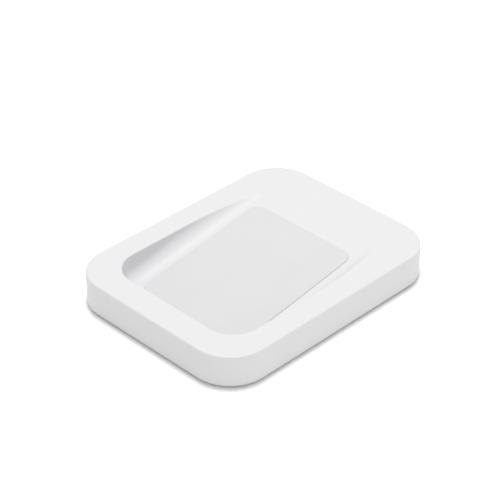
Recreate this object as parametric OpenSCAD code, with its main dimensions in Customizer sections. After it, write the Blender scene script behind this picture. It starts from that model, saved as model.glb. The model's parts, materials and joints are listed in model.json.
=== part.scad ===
// Low slab that charges a phone laid in its sloping well.
// Millimetres. +X is right, +Y is the rear, +Z is up. The origin is the middle
// of the footprint on the table, under the non-slip mat.

/* [Body] */
// Width of the body from side to side
body_w = 83.4; // [82:0.1:88]
// Length of the body from front to rear
body_l = 108.3; // [107:0.1:114]
// Height from the table to the flat top
body_h = 13.4; // [13.3:0.1:14]
// Radius of the four upright corners
corner_r = 15.7; // [14.5:0.1:17]
// Radius that softens the outer edge of the top
top_edge_r = 0.7; // [0.6:0.1:1.6]
// Thickness of the side walls
wall_t = 2.0; // [1.6:0.1:2.2]
// Thickness of the flat top
top_t = 1.8; // [1.6:0.1:2.0]
// Shadow gap between the table and the foot of the walls
rim_gap = 1.0; // [0.9:0.05:1.1]

/* [Phone well] */
// Width of the well between its side walls
well_w = 63.9; // [63:0.1:66]
// Radius of the two front corners of the well
well_corner_r = 11.3; // [9:0.1:12]
// Radius between the floor of the well and its walls
well_floor_r = 5.5; // [4:0.1:6]
// Slope of the floor, in degrees
well_slope = 8.58; // [8.5:0.01:8.7]
// Rim in front of the well
front_rim = 11.2; // [10.8:0.1:12]
// Flat top behind the line where the floor runs out
rear_land = 21.15; // [20.8:0.05:22]
// Thickness of the moulded skin under the well
well_skin = 1.2; // [1.1:0.05:1.25]

/* [Cradle liner] */
// Width of the soft liner on the floor of the well
liner_w = 50; // [40:1:52]
// Length of the soft liner along the slope
liner_l = 62; // [50:1:62]
// Thickness of the soft liner
liner_t = 0.7; // [0.6:0.05:0.8]
// Depth of the recess that holds the liner
liner_recess = 0.4; // [0.3:0.05:0.45]

/* [Coil] */
// Outer diameter of the flat winding
coil_od = 40; // [36:0.5:40.5]
// Inner diameter of the flat winding
coil_id = 20; // [18:0.5:21]
// Thickness of the winding, one layer of stranded wire
coil_t = 1.0; // [0.9:0.05:1.0]
// Thickness of the ferrite tile behind the winding
ferrite_t = 0.7; // [0.6:0.05:0.7]
// Diameter of each lead
lead_d = 0.7; // [0.6:0.05:0.7]

/* [Circuit board] */
// Width of the board
pcb_w = 58; // [56:0.5:58]
// Front-to-rear length of the board
pcb_l = 32; // [32:0.5:33]
// Thickness of the board
pcb_t = 1.0; // [0.8:0.1:1.2]
// Height of the board's underside above the table
pcb_z = 4.0; // [3.9:0.1:4.2]

/* [Fasteners] */
// Shank diameter of the screws that close the housing
screw_d = 2.0; // [1.8:0.1:2.2]
// Length of the screws that close the housing
screw_len = 7; // [6:0.5:8]
// Outer diameter of the screw bosses
boss_d = 4.8; // [4.4:0.1:5]

/* [Hidden] */
$fn = 64;
eps = 0.01;
// Clearance between parts that are dropped into each other
fit_gap = 0.15;
// Clearance between faces that lie close without touching
skin_gap = 0.05;

// Line on the top where the floor of the well runs out
run_out_y = body_l / 2 - rear_land;
// Front wall of the well, measured down the slope from that line
well_front = -(body_l - rear_land - front_rim) * cos(well_slope);
// The cutter for the well stands this far above the floor
well_tall = 24;
// The cutter runs this far past the run-out line
well_over = 14;

// Cradle liner: middle of its length on the slope, and its corners
liner_y = (well_front + well_floor_r) / 2 - 3.2;
liner_r = 5;
liner_edge_r = 0.25;

// Mat and its adhesive film fill the shadow gap
film_t = 0.1;
film_inset = 0.5;
mat_t = rim_gap - film_t;
mat_inset = 2.7;
mat_w = body_w - 2 * mat_inset;
mat_l = body_l - 2 * mat_inset;
mat_r = corner_r - mat_inset;

// The base plate lies between the walls, flush with their foot
base_t = 1.5;
base_w = body_w - 2 * wall_t - 2 * fit_gap;
base_l = body_l - 2 * wall_t - 2 * fit_gap;
base_r = corner_r - wall_t - fit_gap;
base_top = rim_gap + base_t;

// Window in the base plate that clears the deep end of the well
window_w = 63;
window_l = 15;
window_y = run_out_y - 68.5;
window_r = 7;

// Stiffening ribs on the base plate
rib_x = 28.5;
rib_w = 1.2;
rib_l = 30;
rib_h = 1.6;

// Screws that close the housing, front, middle and rear
boss_front = [33.6, -45.6];
boss_mid = [36.9, 2];
boss_rear = [33.6, 46];
pilot_gap = 0.05;
pilot_depth = 7.4;
boss_places = [for (p = [boss_front, boss_mid, boss_rear], s = [-1, 1]) [s * p[0], p[1]]];
// Their heads, and the cross recess for the driver
head_d = 3.8;
head_h = 1.0;
head_gap = 0.2;
drive_w = 0.5;
drive_l = 2.2;
drive_depth = 0.6;

// Coil stack, layer by layer, measured along the normal of the slope
stack_top = -well_skin - skin_gap;
film_z = stack_top - coil_t - film_t;
ferrite_z = film_z - ferrite_t;
carrier_floor = 0.5;
carrier_z = ferrite_z - carrier_floor;
stack_y = -26.5;
ferrite_w = 42.5;
ferrite_l = 41.5;
ferrite_r = 2;
carrier_wall = 0.8;
carrier_w = ferrite_w + 2 * (carrier_wall + fit_gap);
carrier_l = ferrite_l + 2 * (carrier_wall + fit_gap);
carrier_r = ferrite_r + carrier_wall + fit_gap;
carrier_hole_d = 10;
// Height of the cutters that open the stack upwards
stack_cut = 8;

// Slot in ferrite and film that lets the inner wires out to the rear
slot_x = 7.9;
slot_w = 3.6;
slot_start = stack_y + 4.2;

// Ears of the carrier and the heat stakes that hold them
ear_x = 24.6;
ear_y = 17.5;
ear_r = 2.2;
ear_t = 0.8;
stake_r = 1.0;
stake_head_r = 1.5;
stake_head_t = 0.35;

// Circuit board, its four posts and the two screws that hold it
pcb_r = 2;
pcb_rear = 51;
pcb_y = pcb_rear - pcb_l / 2;
pcb_top = pcb_z + pcb_t;
post_x = 25.4;
post_front_y = 23.4;
post_rear_y = 46.4;
post_r = 2.1;
post_pilot_floor = 0.7;
pin_r = 0.9;
pin_over = 0.5;
pcb_hole_r = 1.1;
pcb_screw_d = 1.8;
pcb_screw_len = 4.2;
pcb_head_d = 3.4;
pcb_head_h = 1.1;

// Inlet, a small power receptacle in the middle of the rear wall: steel shell,
// moulded block with its tongue, contacts, and the shell's board tabs
inlet_w = 7.5;
inlet_h = 2.6;
inlet_d = 5.2;
inlet_skin = 0.3;
inlet_mouth = body_l / 2 - 0.5;
inlet_back = inlet_mouth - inlet_d;
inlet_chamfer = 0.9;
inlet_gap = 0.3;
inlet_z = pcb_top + inlet_h / 2;
block_front = inlet_back + 1.3;
tongue_w = 3.8;
tongue_l = 3.2;
tongue_t = 0.6;
tongue_z = inlet_z + 0.05;
contact_pitch = 0.65;
contact_w = 0.3;
contact_l = 2.9;
contact_t = 0.15;
tab_w = 1.1;
tab_l = 1.6;

// Light pipe beside the inlet, and the lamp behind it
pipe_x = -13;
pipe_r = 1.0;
pipe_flange_r = 1.6;
pipe_flange_t = 0.6;
led_w = 3.2;
led_t = 1.2;
led_d = 1.4;
led_h = 2.0;
led_lens_r = 0.6;

// Places of the parts on the board
controller_x = -2;
controller_y = 28.5;
driver_x = -10.5;
driver_y = 27.7;
bridge_x = -17;
bridge_y = 33.2;
tank_x = 8.5;
tank_y = 40.6;
tank_pitch = 4.6;
choke_x = -17;
choke_y = 46.2;
can_x = 9.5;
can_y = 46.6;
can_pitch = 7;
supply_x = -3.2;
supply_y = 40.6;
sense_x = -8.6;
sense_y = 35.6;
crystal_x = 6.6;
crystal_y = 21.6;

// Wires are swept with this many sides and steps between points
wire_sides = 8;
wire_steps = 4;
// Their ends stop this far above the board, inside the solder
wire_lift = 0.05;

// Places where the wires are soldered to the board
pad_outer = [13, 34.5];
pad_inner = [9.6, 34.5];
pad_sense_a = [6.6, 34.5];
pad_sense_b = [4.6, 34.5];
sense_wire_r = 0.25;
joint_r = 0.9;

// ---------- shapes used more than once ----------

// Flat rounded rectangle, centred
module rounded_rect(w, l, r) {
    square([w - 2 * r, l], center = true);
    square([w, l - 2 * r], center = true);
    for (sx = [-1, 1], sy = [-1, 1])
        translate([sx * (w / 2 - r), sy * (l / 2 - r)])
            circle(r = r);
}

// Plate with rounded corners, standing on z = 0
module plate(w, l, t, r) {
    linear_extrude(t)
        rounded_rect(w, l, r);
}

// Section from a corner's axis out to radius r, lower outer edge rounded by f
module half_section(r, f, h) {
    square([r - f, h]);
    translate([0, f])
        square([r, h - f]);
    intersection() {
        translate([r - f, f])
            circle(r = f);
        square([r, h]);
    }
}

// Section across the full width, both lower edges rounded by f
module full_section(half_w, f, h) {
    translate([-(half_w - f), 0])
        square([2 * (half_w - f), h]);
    translate([-half_w, f])
        square([2 * half_w, h - f]);
    for (s = [-1, 1])
        translate([s * (half_w - f), f])
            circle(r = f);
}

// Plate whose upper edge is rounded with radius f, built upside down and
// turned over: a middle, two end strips and four turned corners
module soft_plate(w, l, t, r, f) {
    translate([0, 0, t])
        rotate([180, 0, 0]) {
            rotate([90, 0, 0])
                linear_extrude(l - 2 * r, center = true)
                    full_section(w / 2, f, t);
            for (a = [0, 180])
                rotate([0, 0, a])
                    translate([0, l / 2 - r, 0])
                        rotate([90, 0, 90])
                            linear_extrude(w - 2 * r, center = true)
                                half_section(r, f, t);
            for (sx = [-1, 1], sy = [-1, 1])
                translate([sx * (w / 2 - r), sy * (l / 2 - r), 0])
                    rotate([0, 0, corner_turn(sx, sy)])
                        rotate_extrude(angle = 90)
                            half_section(r, f, t);
        }
}

// Turn that brings a quarter sweep into the corner on the given sides
function corner_turn(sx, sy) =
    sx > 0
        ? (sy > 0 ? 0 : -90)
        : (sy > 0 ? 90 : 180);

// Places children on the floor of the well: z is the floor's normal and
// y runs up the slope, from negative values to 0 at the run-out line
module on_slope() {
    translate([0, run_out_y, body_h])
        rotate([well_slope, 0, 0])
            children();
}

// Space of the well, grown all round by g for the outside of its skin: a
// channel open to the rear, a front strip and two turned front corners
module well_space(g) {
    half_w = well_w / 2 + g;
    r = well_corner_r + g;
    f = well_floor_r + g;
    corner_y = well_front - g + r;
    on_slope()
        translate([0, 0, -g]) {
            translate([0, well_over, 0])
                rotate([90, 0, 0])
                    linear_extrude(well_over - corner_y)
                        full_section(half_w, f, well_tall);
            translate([0, corner_y, 0])
                rotate([90, 0, -90])
                    linear_extrude(2 * (half_w - r), center = true)
                        half_section(r, f, well_tall);
            for (s = [-1, 1])
                translate([s * (half_w - r), corner_y, 0])
                    rotate([0, 0, corner_turn(s, -1)])
                        rotate_extrude(angle = 90)
                            half_section(r, f, well_tall);
        }
}

// Round wire swept along a smooth curve through the points
module wire(points, r) {
    path = smooth_path(points);
    rings = len(path);
    normals = carry_normal(path, 0, [1, 0, 0]);
    polyhedron(
        points = [
            for (i = [0 : rings - 1], k = [0 : wire_sides - 1])
                let (t = tangent(path, i), m = normals[i], a = 360 * k / wire_sides)
                    path[i] + r * (cos(a) * m + sin(a) * cross(t, m))
        ],
        faces = concat(
            [[for (k = [0 : wire_sides - 1]) k]],
            [
                for (i = [0 : rings - 2], k = [0 : wire_sides - 1])
                    let (a = i * wire_sides, b = a + wire_sides, n = (k + 1) % wire_sides)
                        [a + k, b + k, b + n, a + n]
            ],
            [[for (k = [wire_sides - 1 : -1 : 0]) (rings - 1) * wire_sides + k]]
        )
    );
}

// Curve through all the points, with straight ends
function smooth_path(p) = concat(
    [
        for (i = [0 : len(p) - 2], k = [0 : wire_steps - 1])
            curve_point(p[max(i - 1, 0)], p[i], p[i + 1], p[min(i + 2, len(p) - 1)], k / wire_steps)
    ],
    [p[len(p) - 1]]
);

// Point at u, from 0 to 1, on the stretch from b to c of a curve a, b, c, d
function curve_point(a, b, c, d, u) =
    b + (c - a) * u / 2
    + (2 * a - 5 * b + 4 * c - d) * u * u / 2
    + (3 * b - a - 3 * c + d) * u * u * u / 2;

function tangent(p, i) = unit(p[min(i + 1, len(p) - 1)] - p[max(i - 1, 0)]);

function unit(v) = v / norm(v);

// Sideways direction at each point of a path, carried along without twist
function carry_normal(p, i, n) =
    i == len(p)
        ? []
        : let (t = tangent(p, i), m = unit(n - (n * t) * t))
            concat([m], carry_normal(p, i + 1, m));

// Point on the slope, given in the slope's own axes, in the body's axes
function slope_point(p) = [
    p[0],
    run_out_y + p[1] * cos(well_slope) - p[2] * sin(well_slope),
    body_h + p[1] * sin(well_slope) + p[2] * cos(well_slope)
];

// Cross recess for a screw head that faces down at z = 0
module cross_recess(l, w, depth) {
    for (a = [0, 90])
        rotate([0, 0, a])
            translate([-l / 2, -w / 2, -eps])
                cube([l, w, depth + eps]);
}

// Chip on the board: body of size [w, l, h] with its lower face on the board
module chip(x, y, size) {
    translate([x - size[0] / 2, y - size[1] / 2, pcb_top])
        cube(size);
}

// Two-ended chip part whose metal caps stand slightly proud of its body
module capped_chip(x, y, size, cap) {
    proud = 0.03;
    chip(x, y, [size[0] - 2 * cap, size[1] - 2 * proud, size[2] - proud]);
    for (s = [-1, 1])
        chip(x + s * (size[0] - cap) / 2, y, [cap, size[1], size[2]]);
}

// Package with gull-wing legs along its two long sides
module leaded_package(x, y, body, legs, pitch) {
    leg_w = 0.4;
    leg_l = 0.9;
    foot_t = 0.2;
    stand = 0.1;
    translate([0, 0, stand])
        chip(x, y, body);
    for (i = [0 : legs - 1], s = [-1, 1]) {
        leg_x = x + (i - (legs - 1) / 2) * pitch;
        chip(leg_x, y + s * (body[1] + leg_l) / 2, [leg_w, leg_l, foot_t]);
        chip(leg_x, y + s * (body[1] / 2 + foot_t), [leg_w, 2 * foot_t + eps, body[2] / 2]);
    }
}

// ---------- housing ----------

// Moulded upper shell: flat rim, sloping well, walls, bosses and heat stakes
module top_housing() {
    color([0.94, 0.94, 0.95])
        difference() {
            translate([0, 0, rim_gap])
                soft_plate(body_w, body_l, body_h - rim_gap, corner_r, top_edge_r);
            housing_cavity();
            well_space(0);
            liner_seat();
            boss_pilots();
            inlet_port();
            pipe_port();
        }
}

// Hollow under the shell, less what is moulded onto its inside
module housing_cavity() {
    difference() {
        translate([0, 0, rim_gap - eps])
            plate(
                body_w - 2 * wall_t,
                body_l - 2 * wall_t,
                body_h - top_t - rim_gap + eps,
                corner_r - wall_t
            );
        well_space(well_skin);
        bosses();
        heat_stakes();
    }
}

// Screw bosses that reach down to the base plate
module bosses() {
    for (p = boss_places)
        translate([p[0], p[1], base_top])
            cylinder(d = boss_d, h = body_h - base_top - top_t / 2);
}

module boss_pilots() {
    for (p = boss_places)
        translate([p[0], p[1], base_top - eps])
            cylinder(d = screw_d + 2 * pilot_gap, h = pilot_depth);
}

// Pins under the well, flattened over the ears of the coil carrier
module heat_stakes() {
    head_z = stack_top - ear_t - skin_gap - stake_head_t;
    on_slope()
        for (sx = [-1, 1], sy = [-1, 1])
            translate([sx * ear_x, stack_y + sy * ear_y, head_z]) {
                cylinder(r = stake_r, h = -well_skin - head_z + eps);
                cylinder(r = stake_head_r, h = stake_head_t);
            }
}

// Shallow seat in the floor of the well for the cradle liner
module liner_seat() {
    on_slope()
        translate([0, liner_y, -liner_recess])
            plate(liner_w + 2 * skin_gap, liner_l + 2 * skin_gap, well_tall, liner_r + skin_gap);
}

// Opening in the rear wall around the inlet
module inlet_port() {
    translate([0, body_l / 2 + 1, inlet_z])
        rotate([90, 0, 0])
            linear_extrude(wall_t + 2)
                rounded_rect(inlet_w + 2 * inlet_gap, inlet_h + 2 * inlet_gap, 1);
}

module pipe_port() {
    translate([pipe_x, body_l / 2 + 1, inlet_z])
        rotate([90, 0, 0])
            cylinder(r = pipe_r + skin_gap, h = wall_t + 2);
}

// Soft silicone liner that the phone lies on
module cradle_liner() {
    color([0.86, 0.87, 0.88])
        on_slope()
            translate([0, liner_y, -liner_recess])
                soft_plate(liner_w, liner_l, liner_t, liner_r, liner_edge_r);
}

// Flat moulded bottom with board posts, ribs, screw holes and a window
module base_plate() {
    color([0.90, 0.90, 0.91])
        difference() {
            union() {
                translate([0, 0, rim_gap])
                    plate(base_w, base_l, base_t, base_r);
                board_posts();
                for (s = [-1, 1])
                    translate([s * rib_x - rib_w / 2, -rib_l / 2, base_top - eps])
                        cube([rib_w, rib_l, rib_h + eps]);
            }
            translate([0, window_y, rim_gap - 1])
                plate(window_w, window_l, base_t + 2, window_r);
            for (p = boss_places)
                translate([p[0], p[1], rim_gap])
                    screw_hole();
            for (s = [-1, 1])
                translate([s * post_x, post_front_y, rim_gap + post_pilot_floor])
                    cylinder(d = pcb_screw_d + 2 * pilot_gap, h = pcb_z);
        }
}

// Countersunk hole through the base plate
module screw_hole() {
    translate([0, 0, -eps])
        cylinder(d = screw_d + 2 * fit_gap, h = base_t + 2 * eps);
    translate([0, 0, -eps])
        cylinder(d1 = head_d + head_gap, d2 = screw_d + head_gap, h = head_h + eps);
}

// Posts under the board; the rear pair ends in locating pins
module board_posts() {
    for (s = [-1, 1]) {
        translate([s * post_x, post_front_y, base_top - eps])
            cylinder(r = post_r, h = pcb_z - base_top + eps);
        translate([s * post_x, post_rear_y, base_top - eps]) {
            cylinder(r = post_r, h = pcb_z - base_top + eps);
            cylinder(r = pin_r, h = pcb_top - base_top + pin_over);
        }
    }
}

// Film that glues the mat over the screws
module mat_adhesive() {
    color([0.85, 0.80, 0.62])
        translate([0, 0, mat_t])
            plate(mat_w - 2 * film_inset, mat_l - 2 * film_inset, film_t, mat_r - film_inset);
}

// Silicone mat that stands on the table
module non_slip_mat() {
    color([0.78, 0.78, 0.79])
        plate(mat_w, mat_l, mat_t, mat_r);
}

// ---------- coil stack under the well ----------

// Flat winding, as the ring that its turns fill
module transmitter_coil() {
    color([0.72, 0.40, 0.20])
        on_slope()
            translate([0, stack_y, stack_top - coil_t])
                rotate_extrude()
                    translate([coil_id / 2, 0])
                        square([(coil_od - coil_id) / 2, coil_t]);
}

// Lead from the outermost turn, over the rear of the carrier to the board
module coil_lead_outer() {
    z = stack_top - coil_t / 2;
    color([0.75, 0.45, 0.22])
        wire(
            [
                slope_point([pad_outer[0], stack_y + 15.8, z]),
                slope_point([pad_outer[0], stack_y + 23.5, z - 0.2]),
                [pad_outer[0], pad_outer[1] - 3.4, pcb_top + 4.8],
                [pad_outer[0], pad_outer[1] - 0.6, pcb_top + 3.0],
                [pad_outer[0], pad_outer[1], pcb_top + 1.4],
                [pad_outer[0], pad_outer[1], pcb_top + wire_lift]
            ],
            lead_d / 2
        );
}

// Lead from the innermost turn, through the slot in the ferrite
module coil_lead_inner() {
    z = ferrite_z + lead_d / 2 + 0.02;
    x = slot_x + 1.05;
    color([0.75, 0.45, 0.22])
        wire(
            [
                slope_point([x - 1.35, stack_y + 3.8, film_z + film_t + lead_d / 2 + 0.06]),
                slope_point([x - 0.95, stack_y + 5, z + 0.4]),
                slope_point([x, stack_y + 7.2, z]),
                slope_point([x, stack_y + 20.5, z]),
                slope_point([x, stack_y + 23.2, z]),
                [pad_inner[0], pad_inner[1] - 1.8, pcb_top + 3.6],
                [pad_inner[0], pad_inner[1], pcb_top + 1.9],
                [pad_inner[0], pad_inner[1], pcb_top + 0.9],
                [pad_inner[0], pad_inner[1], pcb_top + wire_lift]
            ],
            lead_d / 2
        );
}

// Film that bonds the winding to the ferrite
module coil_adhesive() {
    color([0.93, 0.90, 0.75])
        on_slope()
            difference() {
                translate([0, stack_y, film_z])
                    cylinder(d = coil_od, h = film_t);
                wire_slot();
            }
}

// Sintered tile that keeps the field off the board
module ferrite_shield() {
    color([0.22, 0.22, 0.24])
        on_slope()
            difference() {
                translate([0, stack_y, ferrite_z])
                    plate(ferrite_w, ferrite_l, ferrite_t, ferrite_r);
                wire_slot();
            }
}

// Open-ended slot for the inner wires, through film and ferrite
module wire_slot() {
    translate([slot_x - slot_w / 2, slot_start, ferrite_z - 1])
        cube([slot_w, 40, ferrite_t + film_t + 1 + eps]);
}

// Moulded tray that holds the stack against the underside of the well
module coil_carrier() {
    color([0.16, 0.16, 0.17])
        on_slope()
            difference() {
                union() {
                    translate([0, stack_y, carrier_z])
                        plate(carrier_w, carrier_l, stack_top - carrier_z, carrier_r);
                    for (sx = [-1, 1], sy = [-1, 1])
                        carrier_ear(sx, sy);
                }
                translate([0, stack_y, ferrite_z])
                    plate(ferrite_w + 2 * fit_gap, ferrite_l + 2 * fit_gap, stack_cut, ferrite_r);
                translate([0, stack_y, carrier_z - 1])
                    cylinder(d = carrier_hole_d, h = carrier_floor + 2);
                carrier_notch();
                for (sx = [-1, 1], sy = [-1, 1])
                    translate([sx * ear_x, stack_y + sy * ear_y, carrier_z - 1])
                        cylinder(r = stake_r + 0.1, h = stack_cut);
            }
}

// Ear of the carrier, joined to its side wall
module carrier_ear(sx, sy) {
    inner = carrier_w / 2 - 0.4;
    translate([0, stack_y + sy * ear_y, stack_top - ear_t]) {
        translate([sx * ear_x, 0, 0])
            cylinder(r = ear_r, h = ear_t);
        translate([sx > 0 ? inner : -ear_x, -ear_r, 0])
            cube([ear_x - inner, 2 * ear_r, ear_t]);
    }
}

// Gap in the rear wall of the carrier for all the wires
module carrier_notch() {
    notch_x = 5.6;
    notch_w = 9;
    translate([notch_x, stack_y + ferrite_l / 2 - 1, ferrite_z])
        cube([notch_w, 4, stack_cut]);
}

// Temperature sensor in the eye of the coil, with its two thin wires that
// leave side by side through the slot in the ferrite
module coil_thermistor() {
    bead_r = 0.45;
    bead = [0, stack_y, stack_top - bead_r - skin_gap];
    z = ferrite_z + sense_wire_r + 0.03;
    x = slot_x - 1.45;
    color([0.20, 0.22, 0.24]) {
        translate(slope_point(bead))
            sphere(r = bead_r, $fn = 32);
        sense_wire(bead, -0.28, x, z, pad_sense_b);
        sense_wire(bead, 0.28, x + 0.6, z, pad_sense_a);
    }
}

// Wire from dx beside the middle of the bead, along x in the slot, to its pad
module sense_wire(bead, dx, x, z, pad) {
    wire(
        [
            slope_point(bead + [dx, 0.25, 0]),
            slope_point([x - 0.6, stack_y + 4, stack_top - 0.6]),
            slope_point([x, stack_y + 5.8, z + 0.35]),
            slope_point([x, stack_y + 7.6, z]),
            slope_point([x, stack_y + 20.5, z]),
            slope_point([x, stack_y + 22.8, z]),
            [pad[0], pad[1] - 1.6, pcb_top + 3.0],
            [pad[0], pad[1], pcb_top + 1.6],
            [pad[0], pad[1], pcb_top + 0.8],
            [pad[0], pad[1], pcb_top + wire_lift]
        ],
        sense_wire_r
    );
}

// ---------- circuit board ----------

module main_pcb() {
    color([0.05, 0.30, 0.16])
        difference() {
            translate([0, pcb_y, pcb_z])
                plate(pcb_w, pcb_l, pcb_t, pcb_r);
            for (s = [-1, 1], y = [post_front_y, post_rear_y])
                translate([s * post_x, y, pcb_z - 1])
                    cylinder(r = pcb_hole_r, h = pcb_t + 2);
        }
}

// Charging controller in the middle of the board
module controller_ic() {
    color([0.10, 0.10, 0.11])
        chip(controller_x, controller_y, [6, 6, 0.85]);
}

// Two gate drivers between the controller and the power switches
module driver_ics() {
    color([0.11, 0.11, 0.12])
        for (s = [-1, 1])
            chip(driver_x, driver_y + s * 2.5, [3, 3, 0.8]);
}

// Four switches of the bridge that drives the coil
module power_mosfets() {
    color([0.12, 0.12, 0.13])
        for (sx = [-1, 1], sy = [-1, 1])
            leaded_package(bridge_x + sx * 2.5, bridge_y + sy * 5.2, [4.2, 3.6, 1.1], 3, 1.3);
}

// Capacitors that tune the coil
module resonant_capacitors() {
    color([0.62, 0.50, 0.36])
        for (i = [0 : 3])
            capped_chip(tank_x + i * tank_pitch, tank_y, [3.2, 2.5, 2.0], 0.6);
}

// Shielded choke that smooths the supply
module filter_inductor() {
    case_w = 6;
    case_h = 2.8;
    stand = 0.3;
    ring_r = 2.5;
    ring_w = 0.35;
    ring_depth = 0.2;
    color([0.25, 0.25, 0.27])
        translate([choke_x, choke_y, pcb_top])
            difference() {
                union() {
                    translate([0, 0, stand])
                        plate(case_w, case_w, case_h - stand, 0.8);
                    for (s = [-1, 1])
                        translate([s * 2.2 - 0.8, -2.2, 0])
                            cube([1.6, 4.4, stand + 0.1]);
                }
                translate([0, 0, case_h - ring_depth])
                    difference() {
                        cylinder(r = ring_r, h = 1);
                        cylinder(r = ring_r - ring_w, h = 1);
                    }
            }
}

// Two can capacitors across the supply
module input_capacitors() {
    foot_w = 6;
    foot_t = 0.8;
    can_r = 2.7;
    can_h = 4.4;
    color([0.80, 0.81, 0.83])
        for (i = [0, 1])
            translate([can_x + i * can_pitch, can_y, pcb_top]) {
                plate(foot_w, foot_w, foot_t, 0.6);
                translate([0, 0, foot_t - eps])
                    cylinder(r = can_r, h = can_h);
            }
}

// Small ceramic capacitors at the controller and at the supply
module ceramic_capacitors() {
    color([0.70, 0.58, 0.42]) {
        for (i = [-2 : 2])
            capped_chip(controller_x + 0.2 + i * 1.9, controller_y - 5.1, [1.0, 0.5, 0.5], 0.25);
        for (i = [0 : 2])
            capped_chip(supply_x - 3.2, supply_y + 0.4 + i * 1.8, [2.0, 1.2, 1.0], 0.4);
    }
}

// Small resistors at the controller and at the supply
module chip_resistors() {
    color([0.14, 0.14, 0.16]) {
        for (i = [0 : 3])
            capped_chip(controller_x + 6, controller_y - 2.5 + i * 1.5, [1.6, 0.8, 0.45], 0.3);
        for (i = [0 : 3])
            capped_chip(supply_x, supply_y + i * 1.5, [1.6, 0.8, 0.45], 0.3);
    }
}

// Resistor that measures the coil current
module sense_resistor() {
    color([0.13, 0.13, 0.14])
        capped_chip(sense_x, sense_y, [6.3, 3.2, 0.6], 0.8);
}

// Crystal in its metal can
module crystal() {
    color([0.78, 0.79, 0.80])
        translate([crystal_x, crystal_y, pcb_top]) {
            plate(3.2, 2.5, 0.4, 0.2);
            plate(2.7, 2.0, 0.75, 0.3);
        }
}

// Side-shining lamp behind the light pipe
module status_led() {
    led_y = body_l / 2 - wall_t - pipe_flange_t - 0.3;
    color([0.95, 0.95, 0.88])
        translate([pipe_x, led_y - led_d, pcb_top]) {
            translate([-led_w / 2, -led_t / 2, 0])
                cube([led_w, led_t, led_h]);
            translate([0, led_t / 2 - eps, inlet_z - pcb_top])
                rotate([-90, 0, 0])
                    cylinder(r = led_lens_r, h = led_d - led_t / 2);
        }
}

// Clear rod that carries the lamp's light through the rear wall
module light_pipe() {
    color([0.92, 0.94, 0.96])
        translate([pipe_x, body_l / 2 - 0.1, inlet_z])
            rotate([90, 0, 0]) {
                cylinder(r = pipe_r, h = wall_t - 0.1 + pipe_flange_t);
                translate([0, 0, wall_t - 0.1 + skin_gap])
                    cylinder(r = pipe_flange_r, h = pipe_flange_t - skin_gap);
            }
}

// ---------- inlet ----------

// Section of the receptacle: flat top, lower corners cut back
module inlet_section(w, h, c) {
    polygon([
        [-w / 2, h / 2],
        [w / 2, h / 2],
        [w / 2, -h / 2 + c],
        [w / 2 - c, -h / 2],
        [-w / 2 + c, -h / 2],
        [-w / 2, -h / 2 + c]
    ]);
}

// Folded steel shell with its two board tabs
module inlet_shell() {
    inner_w = inlet_w - 2 * inlet_skin;
    inner_h = inlet_h - 2 * inlet_skin;
    color([0.75, 0.76, 0.78]) {
        translate([0, inlet_mouth, inlet_z])
            rotate([90, 0, 0])
                linear_extrude(inlet_d)
                    difference() {
                        inlet_section(inlet_w, inlet_h, inlet_chamfer);
                        inlet_section(inner_w, inner_h, inlet_chamfer - inlet_skin / 2);
                    }
        for (s = [-1, 1]) {
            translate([s * (inlet_w / 2 + 0.5) - tab_w / 2, inlet_back + 0.4, pcb_top])
                cube([tab_w, tab_l, inlet_skin]);
            translate([s * (inlet_w / 2 + 0.1) - inlet_skin / 2, inlet_back + 0.4, pcb_top])
                cube([inlet_skin, tab_l, inlet_h / 2]);
        }
    }
}

// Moulded block at the back of the shell, with the tongue that carries contacts
module inlet_insulator() {
    block_w = inlet_w - 2 * inlet_skin - 2 * skin_gap;
    block_h = inlet_h - 2 * inlet_skin - 2 * skin_gap;
    block_l = 1.2;
    color([0.09, 0.09, 0.10]) {
        translate([0, block_front, inlet_z])
            rotate([90, 0, 0])
                linear_extrude(block_l)
                    inlet_section(block_w, block_h, inlet_chamfer);
        translate([-tongue_w / 2, block_front - 0.1, tongue_z])
            cube([tongue_w, tongue_l, tongue_t]);
    }
}

// Five sprung contacts under the tongue
module inlet_contacts() {
    color([0.86, 0.70, 0.34])
        for (i = [-2 : 2])
            translate([i * contact_pitch, block_front + skin_gap, tongue_z - contact_t])
                translate([-contact_w / 2, 0, 0])
                    cube([contact_w, contact_l, contact_t]);
}

// ---------- joints and screws ----------

// Solder where the four wires meet the board
module solder_joints() {
    color([0.72, 0.73, 0.75]) {
        for (p = [pad_outer, pad_inner])
            solder_dome(p, joint_r, lead_d / 2);
        for (p = [pad_sense_a, pad_sense_b])
            solder_dome(p, joint_r - 0.2, sense_wire_r);
    }
}

module solder_dome(p, r, wire_r) {
    translate([p[0], p[1], pcb_top])
        difference() {
            cylinder(r1 = r, r2 = wire_r + 0.15, h = 0.7);
            translate([0, 0, -eps])
                cylinder(r = wire_r + 0.06, h = 1, $fn = 24);
        }
}

// Six countersunk screws, from below through the base plate
module housing_screws() {
    color([0.70, 0.71, 0.73])
        for (p = boss_places)
            translate([p[0], p[1], rim_gap])
                difference() {
                    union() {
                        cylinder(d = screw_d, h = screw_len);
                        cylinder(d1 = head_d, d2 = screw_d, h = head_h);
                    }
                    cross_recess(drive_l, drive_w, drive_depth);
                }
}

// Two pan-head screws that hold the board to its front posts
module pcb_screws() {
    color([0.70, 0.71, 0.73])
        for (s = [-1, 1])
            translate([s * post_x, post_front_y, pcb_top + pcb_head_h])
                rotate([180, 0, 0])
                    difference() {
                        union() {
                            cylinder(d = pcb_head_d, h = pcb_head_h);
                            cylinder(d = pcb_screw_d, h = pcb_screw_len);
                        }
                        cross_recess(drive_l - 0.4, drive_w, drive_depth);
                    }
}

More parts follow.
